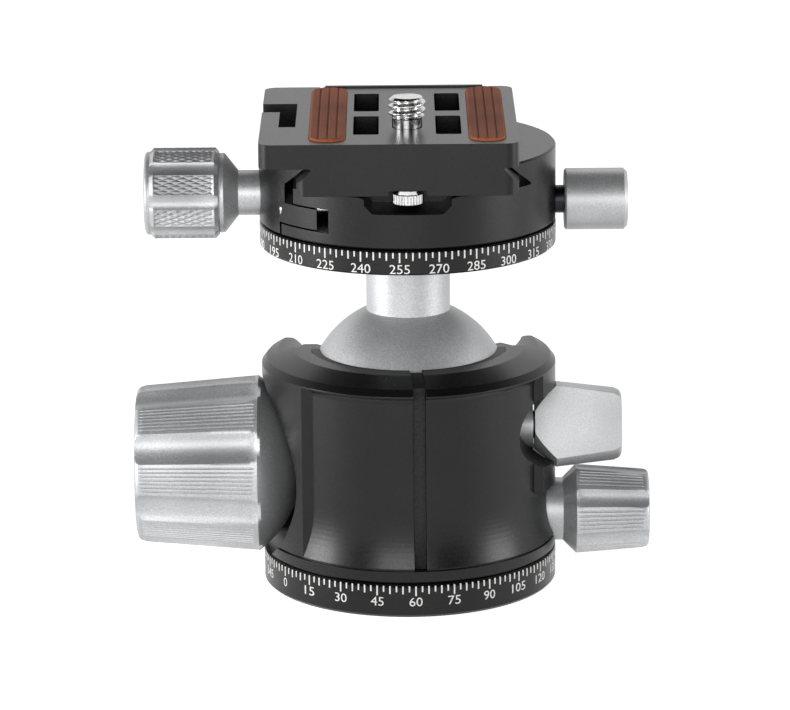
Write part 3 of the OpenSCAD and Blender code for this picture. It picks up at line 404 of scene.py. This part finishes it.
# %% Build the main lock knob
lock_angles, lock_grooves = land_angles(LOCK)
lock_rows = [(LOCK["pocket_end"], LOCK["spindle"]), (LOCK["pocket_end"], LOCK["pocket"]),
             (LOCK["out"], LOCK["pocket"]), (LOCK["out"], LOCK["face_r"])]
lock_rows += corner(LOCK["out"], LOCK["end_r"], LOCK["round"])
lock_rows += [(a, lock_radius(a)) for a in along(*LOCK_STEPS)]
lock_rows += [(LOCK["inner"], LOCK["bore"]), (LOCK["bore_end"], LOCK["bore"]),
              (LOCK["bore_end"], LOCK["spindle"])]
lock_grid = along_x(lock_rows, lock_angles, LOCK["z"], -1, ridged(LOCK, lock_grooves, lock_radius))
main_knob = finish_mesh("main_lock_knob_ridged", skin("main_lock_knob_ridged", lock_grid, True),
                        "main_lock_knob", silver_anodised)
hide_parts("main_lock_knob")

# %% [markdown]
# ## The panning lock knob
# The lower knob on the right stops the base from turning. It has a thin neck, a cone
# and six flutes, with six ridges on each land, and it narrows outwards like the main
# one, so the same functions shape it from its own sizes.

# %% Build the panning lock knob
PAN = dict(z=11.9, out=42.6, mid=29.625, r=7.95, end_r=6.97, round=0.8, face_r=3.0, cone_end=27.3, neck=5.6,
           inner=18.8, bore=2.45, bore_end=35.63, plain=5.7,
           flutes=6, first=0.0, cutter=2.6, depth=0.7, lead=0.4, run=1.8, valley=11,
           ridges=6, land=math.radians(17.4), groove=math.radians(1.3), groove_depth=0.28,
           ridge_in=0.3, ridge_out=0.8, ramp=0.4)
PAN_STEPS = ((41.6, 41.0, 3), (40.0, 32.0, 8), (31.4, PAN["mid"], 8))


def pan_radius(a):
    """The turned radius at distance a, which is a plain cone."""
    return cone(PAN, a)


pan_angles, pan_grooves = land_angles(PAN)
pan_rows = [(PAN["out"], 0.0), (PAN["out"], PAN["face_r"])] + corner(PAN["out"], PAN["end_r"], PAN["round"])
pan_rows += [(a, pan_radius(a)) for a in along(*PAN_STEPS)]
pan_rows += [(PAN["cone_end"], PAN["neck"]), (PAN["inner"], PAN["neck"]), (PAN["inner"], PAN["bore"]),
             (PAN["bore_end"], PAN["bore"]), (PAN["bore_end"], 0.0)]
pan_grid = along_x(pan_rows, pan_angles, PAN["z"], 1, ridged(PAN, pan_grooves, pan_radius))
pan_knob = finish_mesh("pan_lock_knob_ridged", skin("pan_lock_knob_ridged", pan_grid), "pan_lock_knob",
                       silver_anodised)
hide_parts("pan_lock_knob")

# %% [markdown]
# ## The clamp knob
# The knob at the upper left draws the jaw in. Its lands carry a diamond knurl, which a
# pair of crossing cutters leaves as rows of small pyramids: 0.9 mm apart round the knob
# and 2.3 mm apart along it. A bump texture could draw them, but they show at the knob's
# outline, so they are in the mesh. The flutes run out through the chamfers at both ends.

# %% The knurled shape of the clamp knob
CLAMP = dict(z=70.2, out=46.0, barrel=33.0, r=8.0, rim=7.3, round=0.7, face_r=4.0, chamfer=(45.0, 44.3),
             chamfer_in=33.65, collar=7.0, cone=29.6, neck=3.95, inner=25.1, bore=3.0, bore_end=40.0,
             plain=5.9, flutes=8, cutter=2.2, depth=0.62, points=448, feather=0.02,
             knurl_depth=0.34, knurl_in=0.7, knurl_out=1.8, ramp=0.4, knurl_round=0.9, knurl_along=2.3)
CLAMP_STEPS = ((44.1, 33.75, 56),)


def round_angles(count):
    """That many equal angles round a circle."""
    return np.linspace(0, 2 * math.pi, count + 1)[:-1]


def knurl(a, turn_mm):
    """Height from 0 to 1 of the pyramids between two families of crossing cuts."""
    first = (turn_mm / CLAMP["knurl_round"] + a / CLAMP["knurl_along"]) % 1
    second = (turn_mm / CLAMP["knurl_round"] - a / CLAMP["knurl_along"]) % 1
    return np.minimum(1 - np.abs(2 * first - 1), 1 - np.abs(2 * second - 1))


def clamp_shape(a, r, angles):
    """Flutes through the whole barrel, and a knurl on the lands."""
    if r < CLAMP["plain"] or a < CLAMP["barrel"]:
        return np.full_like(angles, r)
    left, _ = fluted(CLAMP["r"], angles, CLAMP["flutes"], 0.0, CLAMP["cutter"], CLAMP["depth"])
    room = min(a - CLAMP["barrel"] - CLAMP["knurl_in"], CLAMP["out"] - CLAMP["knurl_out"] - a)
    ends = between(room / CLAMP["ramp"])
    # The knurl fades out between one and two feathers below the land.
    land = np.clip((left - CLAMP["r"]) / CLAMP["feather"] + 2, 0, 1)
    pits = CLAMP["knurl_depth"] * (1 - knurl(a, angles * CLAMP["r"]))
    return np.minimum(left, r) - pits * ends * land


print("pyramids round the clamp knob:", round(2 * math.pi * CLAMP["r"] / CLAMP["knurl_round"]))

# %% [markdown]
# Behind the barrel sits a narrow collar with rounded edges, then a cone down to the
# neck that reaches into the clamp. These are turned, so a row for each change of
# radius is enough.

# %% Build the clamp knob
COLLAR = ((0.05, 0.15), (0.1, 0.1), (0.3, 0.0), (0.9, 0.0), (1.15, 0.2))
clamp_rows = [(CLAMP["out"], 0.0), (CLAMP["out"], CLAMP["face_r"])]
clamp_rows += corner(CLAMP["out"], CLAMP["rim"], CLAMP["round"])
clamp_rows += [(CLAMP["chamfer"][0], CLAMP["rim"]), (CLAMP["chamfer"][1], CLAMP["r"])]
clamp_rows += [(a, CLAMP["r"]) for a in along(*CLAMP_STEPS)]
clamp_rows += [(CLAMP["chamfer_in"], CLAMP["r"]), (CLAMP["barrel"], CLAMP["rim"])]
clamp_rows += [(CLAMP["barrel"] - back, CLAMP["collar"] - drop) for back, drop in COLLAR]
clamp_rows += [(CLAMP["cone"], CLAMP["neck"]), (CLAMP["inner"], CLAMP["neck"]),
               (CLAMP["inner"], CLAMP["bore"]), (CLAMP["bore_end"], CLAMP["bore"]), (CLAMP["bore_end"], 0.0)]
clamp_grid = along_x(clamp_rows, round_angles(CLAMP["points"]), CLAMP["z"], -1, clamp_shape)
clamp_knob = finish_mesh("clamp_knob_knurled", skin("clamp_knob_knurled", clamp_grid), "clamp_knob",
                         silver_anodised)
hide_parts("clamp_knob")

# %% [markdown]
# ## The camera screw
# A quarter inch screw with 20 threads to the inch, so its ridge climbs 1.27 mm each
# turn. A Screw modifier could wind a profile, but its ends would need trimming. Here
# the radius at a point depends on how far along its turn the ridge has climbed, which
# bends the rows into a true helix, and an envelope of chamfers at both ends limits it,
# so the thread starts and stops as a lathe leaves it.

# %% The shape of the camera screw
SCREW = dict(y=-10.6, head_z=75.2, head_r=5.4, head_h=2.4, chamfer=0.3, ease=0.2, shank=2.4, length=3.8,
             root=2.45, crest=3.17, pitch=1.27, steep=1.5, flat=0.2, start_slope=1.2, end_slope=1.1,
             end_chamfer=0.6,
             tip=89.3, tip_r=2.4, points=96, rows=62, first_row=0.06, last_row=0.02)
foot = SCREW["tip"] - SCREW["length"]
head_top = SCREW["head_z"] + SCREW["head_h"]


def along_z(rows, angles, y, shape):
    """Points of a screw that stands at y: shape(z, r, angles) is the radius at row (z, r)."""
    grid = np.empty((len(rows), len(angles), 3))
    for i, (z, r) in enumerate(rows):
        radius = shape(z, r, angles)
        grid[i, :, 0] = radius * np.cos(angles)
        grid[i, :, 1] = y + radius * np.sin(angles)
        grid[i, :, 2] = z
    return grid


def thread(z, angles):
    """Radius of the thread at height z: a ridge with flat crest and root."""
    phase = (z / SCREW["pitch"] - angles / (2 * math.pi)) % 1
    ridge = np.clip((1 - np.abs(2 * phase - 1)) * SCREW["steep"] - SCREW["flat"], 0, 1)
    return SCREW["root"] + (SCREW["crest"] - SCREW["root"]) * ridge


def screw_shape(z, r, angles):
    """The thread above the shank, inside the turned radius r."""
    if foot < z < SCREW["tip"]:
        return np.minimum(r, thread(z, angles))
    return np.full_like(angles, r)


print("the thread has", round(SCREW["length"] / SCREW["pitch"], 1), "turns")

# %% [markdown]
# The rows go from the middle of the flat head's underside up to the middle of the tip.

# %% Build the camera screw
screw_rows = [(SCREW["head_z"], 0.0), (SCREW["head_z"], SCREW["head_r"] - SCREW["chamfer"]),
              (SCREW["head_z"] + SCREW["chamfer"], SCREW["head_r"]),
              (head_top - SCREW["ease"], SCREW["head_r"]), (head_top, SCREW["head_r"] - SCREW["ease"]),
              (head_top, SCREW["shank"]), (foot, SCREW["shank"])]
for z in np.linspace(foot + SCREW["first_row"], SCREW["tip"] - SCREW["last_row"], SCREW["rows"]):
    start = SCREW["shank"] + SCREW["start_slope"] * (z - foot)
    end = SCREW["crest"] - SCREW["end_slope"] * (z - SCREW["tip"] + SCREW["end_chamfer"])
    screw_rows.append((z, min(SCREW["crest"], start, end)))
screw_rows += [(SCREW["tip"], SCREW["tip_r"]), (SCREW["tip"], 0.0)]
screw_grid = along_z(screw_rows, round_angles(SCREW["points"]), SCREW["y"], screw_shape)
camera_screw = finish_mesh("camera_screw_threaded", skin("camera_screw_threaded", screw_grid),
                           "camera_screw", stainless)
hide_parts("camera_screw")

# %% [markdown]
# ## The stop screws
# Two short screws under the plate keep it from sliding out of an open clamp. Their
# heads are turned, chamfered at the top and knurled straight: fine grooves parallel to
# the axis, 0.6 mm apart, so that they could be tightened by hand. A six-sided socket
# goes into each from below.

# %% Build both stop screws
STOP = dict(y=22.0, top=75.8, h=3.0, r=2.7, foot_r=2.3, chamfer=0.35, knurl=(0.4, 1.0, 1.85, 1.95),
            groove=0.22, teeth=28, collar=(2.05, 2.7), collar_r=2.35, top_r=1.95, shank=1.5,
            shank_top=79.15, socket=1.28, socket_h=1.5, points=168)
stop_foot = STOP["top"] - STOP["h"]
stop_rows = [(stop_foot + STOP["socket_h"], 0.0), (stop_foot + STOP["socket_h"], STOP["socket"]),
             (stop_foot, STOP["socket"]), (stop_foot, STOP["foot_r"]),
             (stop_foot + STOP["chamfer"], STOP["r"])]
stop_rows += [(stop_foot + h, STOP["r"]) for h in STOP["knurl"]]
stop_rows += [(stop_foot + h, STOP["collar_r"]) for h in STOP["collar"]]
stop_rows += [(STOP["top"], STOP["top_r"]), (STOP["top"], STOP["shank"]), (STOP["shank_top"], STOP["shank"]),
              (STOP["shank_top"], 0.0)]


def stop_shape(z, r, angles):
    """Straight grooves on the knurled rows and six flats in the socket."""
    groove = STOP["groove"] * (r == STOP["r"]) * (1 - np.abs(np.sin(angles * STOP["teeth"] / 2)))
    six = np.cos(math.pi / 6) / np.cos((angles + math.pi / 6) % (math.pi / 3) - math.pi / 6)
    return (r - groove) * (six if r == STOP["socket"] else 1)


stop_meshes = [skin("stop", along_z(stop_rows, round_angles(STOP["points"]), y, stop_shape))
               for y in (-STOP["y"], STOP["y"])]
stop_screws = finish_mesh("stop_screws_knurled", joined("stop_screws_knurled", stop_meshes), "stop_screws",
                          stainless)
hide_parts("stop_screws")

# %% [markdown]
# ## The rubber pads
# Two moulded pads sit in shallow seats of the plate. Each has four broad rounded ridges
# along its length, with narrow grooves between, and its rim is rounded. A pad could be
# a subdivided box, but its round ends would pull the ridges in. Here each row is the
# pad's outline, shrunk towards its middle line, and the height at a point falls off
# near the rim and in the grooves, so the ridges stay straight.

# %% The shape of a pad
PAD = dict(x=13.7, w=6.3, l=45.6, foot=83.4, top=84.4, r=3.05, ridges=4, groove=0.3, groove_w=0.24,
           round_w=0.45, round_h=0.3, straight=60, bend=32, sharp=math.radians(60))
PAD_STEPS = ((1, 0.86, 7), (0.84, 0, 56))


def pad_outline():
    """Points round one pad: two straight sides and two round ends."""
    half_w, inner = PAD["w"] / 2, PAD["l"] / 2 - PAD["r"]
    straight = np.linspace(-1, 1, PAD["straight"])
    bend = np.linspace(0, math.pi, PAD["bend"])[1:-1]
    outline = [(half_w, inner * s) for s in straight]
    outline += [(half_w * math.cos(t), inner + PAD["r"] * math.sin(t)) for t in bend]
    outline += [(-half_w, -inner * s) for s in straight]
    outline += [(-half_w * math.cos(t), -inner - PAD["r"] * math.sin(t)) for t in bend]
    return np.array(outline)


def pad_top(across, away):
    """Height of a pad's top, from 0 to 1 across its width and away from its rim."""
    ridge = across * PAD["ridges"] % 1
    wave = np.clip(np.minimum(ridge, 1 - ridge) / PAD["groove_w"], 0, 1)
    rim = PAD["round_h"] * (1 - math.sqrt(1 - (1 - away) ** 2))
    return PAD["top"] - rim - PAD["groove"] * (1 - wave) ** 2 * away


print("a pad's outline has", len(pad_outline()), "points")

# %% [markdown]
# Two rows close the flat underside, and the rest climb over the rim to the middle line.

# %% Build both pads
def pad_grid(x0):
    """Rows of one pad, from the middle of its underside over its rim to the middle of its top."""
    outline = pad_outline()
    inner = PAD["l"] / 2 - PAD["r"]
    spine = np.stack([np.zeros(len(outline)), np.clip(outline[:, 1], -inner, inner)], 1)
    rows = [(0.0, True), (1.0, True)] + [(s, False) for s in along(*PAD_STEPS)]
    grid = np.empty((len(rows), len(outline), 3))
    for i, (s, under) in enumerate(rows):
        points = spine + (outline - spine) * s
        away = np.clip((1 - s) * PAD["w"] / 2 / PAD["round_w"], 0, 1)
        grid[i, :, 0] = x0 + points[:, 0]
        grid[i, :, 1] = points[:, 1]
        grid[i, :, 2] = PAD["foot"] if under else pad_top(points[:, 0] / PAD["w"] + 0.5, away)
    return grid


pads_mesh = joined("rubber_pads_ribbed", [skin("pad", pad_grid(x)) for x in (-PAD["x"], PAD["x"])])
pads = finish_mesh("rubber_pads_ribbed", pads_mesh, "rubber_pads", brown_rubber, PAD["sharp"])
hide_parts("rubber_pads")

# %% [markdown]
# ## The scales
# Both the base and the ring under the clamp carry a degree scale: a line every 2.5
# degrees, hanging from the top edge, in turn short and medium, with a long line and a
# number every 15 degrees. Flat letters laid on the ring would stand off it, so each
# mark is built flat and its points are wrapped round the ring. It stands 0.02 mm proud,
# as paint in a laser cut does, and goes 0.1 mm into the metal.

# %% Flat marks
MARK = dict(proud=0.02, sunk=0.1, digit=1.19, gap=0.08, high=1.6, line=0.27, step=2.5, number=15)


def flat_number(text):
    """Vertices and faces of a number as a thin slab, centred, in mm."""
    curve = bpy.data.curves.new("number", "FONT")
    curve.body = text
    # Any thickness will do here, because the slab is scaled to its real size below.
    curve.extrude = 0.5
    curve.resolution_u = 3
    shape = bpy.data.objects.new("number", curve)
    mesh = bpy.data.meshes.new_from_object(shape)
    work = bmesh.new()
    work.from_mesh(mesh)
    bmesh.ops.remove_doubles(work, verts=work.verts, dist=1e-5)
    bmesh.ops.triangulate(work, faces=work.faces)
    points = np.array([v.co for v in work.verts])
    low, high = points.min(0), points.max(0)
    size = np.array([MARK["digit"] * len(text) - MARK["gap"], MARK["high"], MARK["proud"] + MARK["sunk"]])
    work.verts.index_update()
    faces = [[v.index for v in f.verts] for f in work.faces]
    work.free()
    bpy.data.objects.remove(shape)
    bpy.data.curves.remove(curve)
    bpy.data.meshes.remove(mesh)
    return (points - (low + high) / 2) / (high - low) * size, faces


def flat_line(height):
    """Vertices and faces of a line as a thin box, centred, in mm."""
    x, y, z = MARK["line"] / 2, height / 2, (MARK["proud"] + MARK["sunk"]) / 2
    points = np.array([(sx * x, sy * y, sz * z) for sx in (-1, 1) for sy in (-1, 1) for sz in (-1, 1)])
    faces = [[0, 1, 3, 2], [4, 6, 7, 5], [0, 4, 5, 1], [2, 3, 7, 6], [0, 2, 6, 4], [1, 5, 7, 3]]
    return points, faces


print("the number 255 has", len(flat_number("255")[1]), "faces")

# %% [markdown]
# Wrapping turns a mark's sideways place into an angle round the ring. The zero of each
# scale is turned as far from the front as in the photograph.

# %% Mark the base and the upper ring
BASE_SCALE = dict(node="base_plate", radius=26.0, zero=58.0, number_z=2.9, top=5.72,
                  lines=(1.05, 1.4, 1.75))
RING_SCALE = dict(node="graduated_ring", radius=26.0, zero=258.3, number_z=62.3, top=65.2,
                  lines=(0.95, 1.4, 1.75))


def degree_scale(name, scale):
    """All marks of one ring, as one piece."""
    points, faces = [], []
    per_number = round(MARK["number"] / MARK["step"])

    def wrap(shape, degrees, z):
        flat, sides = shape
        start = sum(len(p) for p in points)
        turn = math.radians(degrees) + flat[:, 0] / scale["radius"]
        out = scale["radius"] + flat[:, 2] + (MARK["proud"] - MARK["sunk"]) / 2
        points.append(np.stack([out * np.sin(turn), -out * np.cos(turn), z + flat[:, 1]], 1))
        faces.extend([[start + k for k in side] for side in sides])

    for number in range(0, 360, MARK["number"]):
        wrap(flat_number(str(number)), number - scale["zero"], scale["number_z"])
        for k in range(per_number):
            length = scale["lines"][2] if k == 0 else scale["lines"][k % 2 == 0]
            wrap(flat_line(length), number - scale["zero"] + MARK["step"] * k, scale["top"] - length / 2)
    mesh = bpy.data.meshes.new(name)
    mesh.from_pydata((np.concatenate(points) * MM).tolist(), [], faces)
    return finish_mesh(name, mesh, scale["node"], scale_paint)


degree_scale("base_scale", BASE_SCALE)
degree_scale("upper_scale", RING_SCALE)

# %% [markdown]
# ## A white room
# The head stands in a white room. What the camera, the metal and the shiny paint see of
# it is full white, but it gives only part of that as light, because an even white light
# from all sides would wash the form out.

# %% The room
ROOM_LIGHT, ROOM_SEEN = 0.38, 1.0


def seen_white(tree):
    """One where a camera, glossy or transmission ray looks, and nought for diffuse light."""
    path = add(tree, "LightPath").outputs
    sight = add(tree, "Math", {0: path["Is Camera Ray"], 1: path["Is Glossy Ray"]},
                operation="MAXIMUM").outputs[0]
    return add(tree, "Math", {0: sight, 1: path["Is Transmission Ray"]}, operation="MAXIMUM").outputs[0]


world = bpy.data.worlds.new("white room")
bpy.context.scene.world = world
world.use_nodes = True
room = world.node_tree
room.nodes.clear()
level = add(room, "MapRange", {"Value": seen_white(room), "To Min": ROOM_LIGHT, "To Max": ROOM_SEEN})
sky = add(room, "Background", {"Color": linear("#ffffff"), "Strength": level.outputs["Result"]})
add(room, "OutputWorld", {"Surface": sky.outputs["Background"]})
print("the room gives", ROOM_LIGHT, "and shows", ROOM_SEEN)

# %% [markdown]
# ## A white table
# The table is matt white card that carries the head's shadow. Lamps alone would leave
# it grey, so where it is looked at it glows a little, which lifts it to white.

# %% The table
TABLE = dict(half=3, glow=0.8, colour="#f4f4f4", rough=0.9)


def matt(name, colour, rough):
    """A dull material that reflects no highlight, with its node tree."""
    material = bpy.data.materials.new(name)
    material.use_nodes = True
    shader = material.node_tree.nodes["Principled BSDF"]
    shader.inputs["Base Color"].default_value = linear(colour)
    shader.inputs["Roughness"].default_value = rough
    shader.inputs["Specular IOR Level"].default_value = 0.0
    return material, material.node_tree, shader


def sheet_mesh(name, corners, material):
    """One flat stage piece from its four corners in metres."""
    mesh = bpy.data.meshes.new(name)
    mesh.from_pydata(corners, [], [(0, 1, 2, 3)])
    mesh.materials.append(material)
    piece = bpy.data.objects.new(name, mesh)
    bpy.context.scene.collection.objects.link(piece)
    return piece


paper, paper_tree, board = matt("white table, matt", TABLE["colour"], TABLE["rough"])
board.inputs["Emission Color"].default_value = linear("#ffffff")
lift = add(paper_tree, "MapRange", {"Value": seen_white(paper_tree), "To Min": 0.0, "To Max": TABLE["glow"]})
paper_tree.links.new(lift.outputs["Result"], board.inputs["Emission Strength"])
half = TABLE["half"]
sheet_mesh("table", [(-half, -half, 0), (half, -half, 0), (half, half, 0), (-half, half, 0)], paper)
print("a table of", 2 * half, "m")

# %% [markdown]
# ## Black screens
# A product photographer keeps black metal black by giving it something dark to mirror.
# One screen stands behind the camera and one hangs overhead. The camera doesn't see
# them, so the background stays white.

# %% The screens
SCREEN = dict(half=1.1, front=-1.0, back=0.8, foot=0.05, top=0.9)
cloth = matt("black cloth, matt", "#0a0a0a", 1.0)[0]
left, right = -SCREEN["half"], SCREEN["half"]
front, back, bottom, top = SCREEN["front"], SCREEN["back"], SCREEN["foot"], SCREEN["top"]
upright = [(left, front, bottom), (right, front, bottom), (right, front, top), (left, front, top)]
overhead = [(left, front, top), (right, front, top), (right, back, top), (left, back, top)]
for name, corners in (("screen in front", upright), ("screen above", overhead)):
    sheet_mesh(name, corners, cloth).visible_camera = False
print("two screens,", top - bottom, "m high and", back - front, "m deep")

# %% [markdown]
# ## Four soft boxes
# A low soft box on each side draws a broad highlight down the black housing, a large one
# just above the lens lifts the silver, and a weak one behind lights the back.

# %% The lamps
MIDDLE = (0, 0, 0.045)
LAMPS = (("left soft box", (-0.65, -0.18, 0.12), (0.3, 0.24), 3.4),
         ("right soft box", (0.65, -0.18, 0.12), (0.3, 0.24), 1.8),
         ("front soft box", (-0.12, -0.9, 0.26), (0.6, 0.3), 4.4),
         ("back soft box", (0.1, 0.7, 0.75), (0.5, 0.3), 0.7))
for name, place, size, watts in LAMPS:
    light = bpy.data.lights.new(name, "AREA")
    light.shape = "RECTANGLE"
    light.size, light.size_y = size
    light.energy = watts
    lamp = bpy.data.objects.new(name, light)
    lamp.location = place
    lamp.rotation_euler = (Vector(MIDDLE) - Vector(place)).to_track_quat("-Z", "Y").to_euler()
    lamp.visible_camera = False
    bpy.context.scene.collection.objects.link(lamp)
print(len(LAMPS), "lamps with", sum(lamp[-1] for lamp in LAMPS), "W")

# %% [markdown]
# ## The camera
# The photograph was solved for its camera from the round base, ring and plate, which
# gives a long lens 0.8 m away, looking down by 14.7 degrees with a slight roll.

# %% Place the camera
EYE = dict(place=(-2.41, -771.1, 242.2), down=14.66, roll=-0.468, lens=205.0, film=36.0)
lens = bpy.data.cameras.new("camera")
lens.lens, lens.sensor_width = EYE["lens"], EYE["film"]
camera = bpy.data.objects.new("camera", lens)
camera.matrix_world = (Matrix.Translation([part * MM for part in EYE["place"]])
                       @ Matrix.Rotation(math.radians(90 - EYE["down"]), 4, "X")
                       @ Matrix.Rotation(math.radians(EYE["roll"]), 4, "Z"))
bpy.context.scene.collection.objects.link(camera)
bpy.context.scene.camera = camera
print("the lens is", round((Vector(EYE["place"]) * MM - Vector(MIDDLE)).length, 3), "m from the head")

# %% [markdown]
# ## Close the scene
# Colours are shown as they are written, through the standard view transform, and the
# scene is brought up to date.

# %% Show colours as written and finish
bpy.context.scene.view_settings.view_transform = "Standard"
bpy.context.view_layer.update()
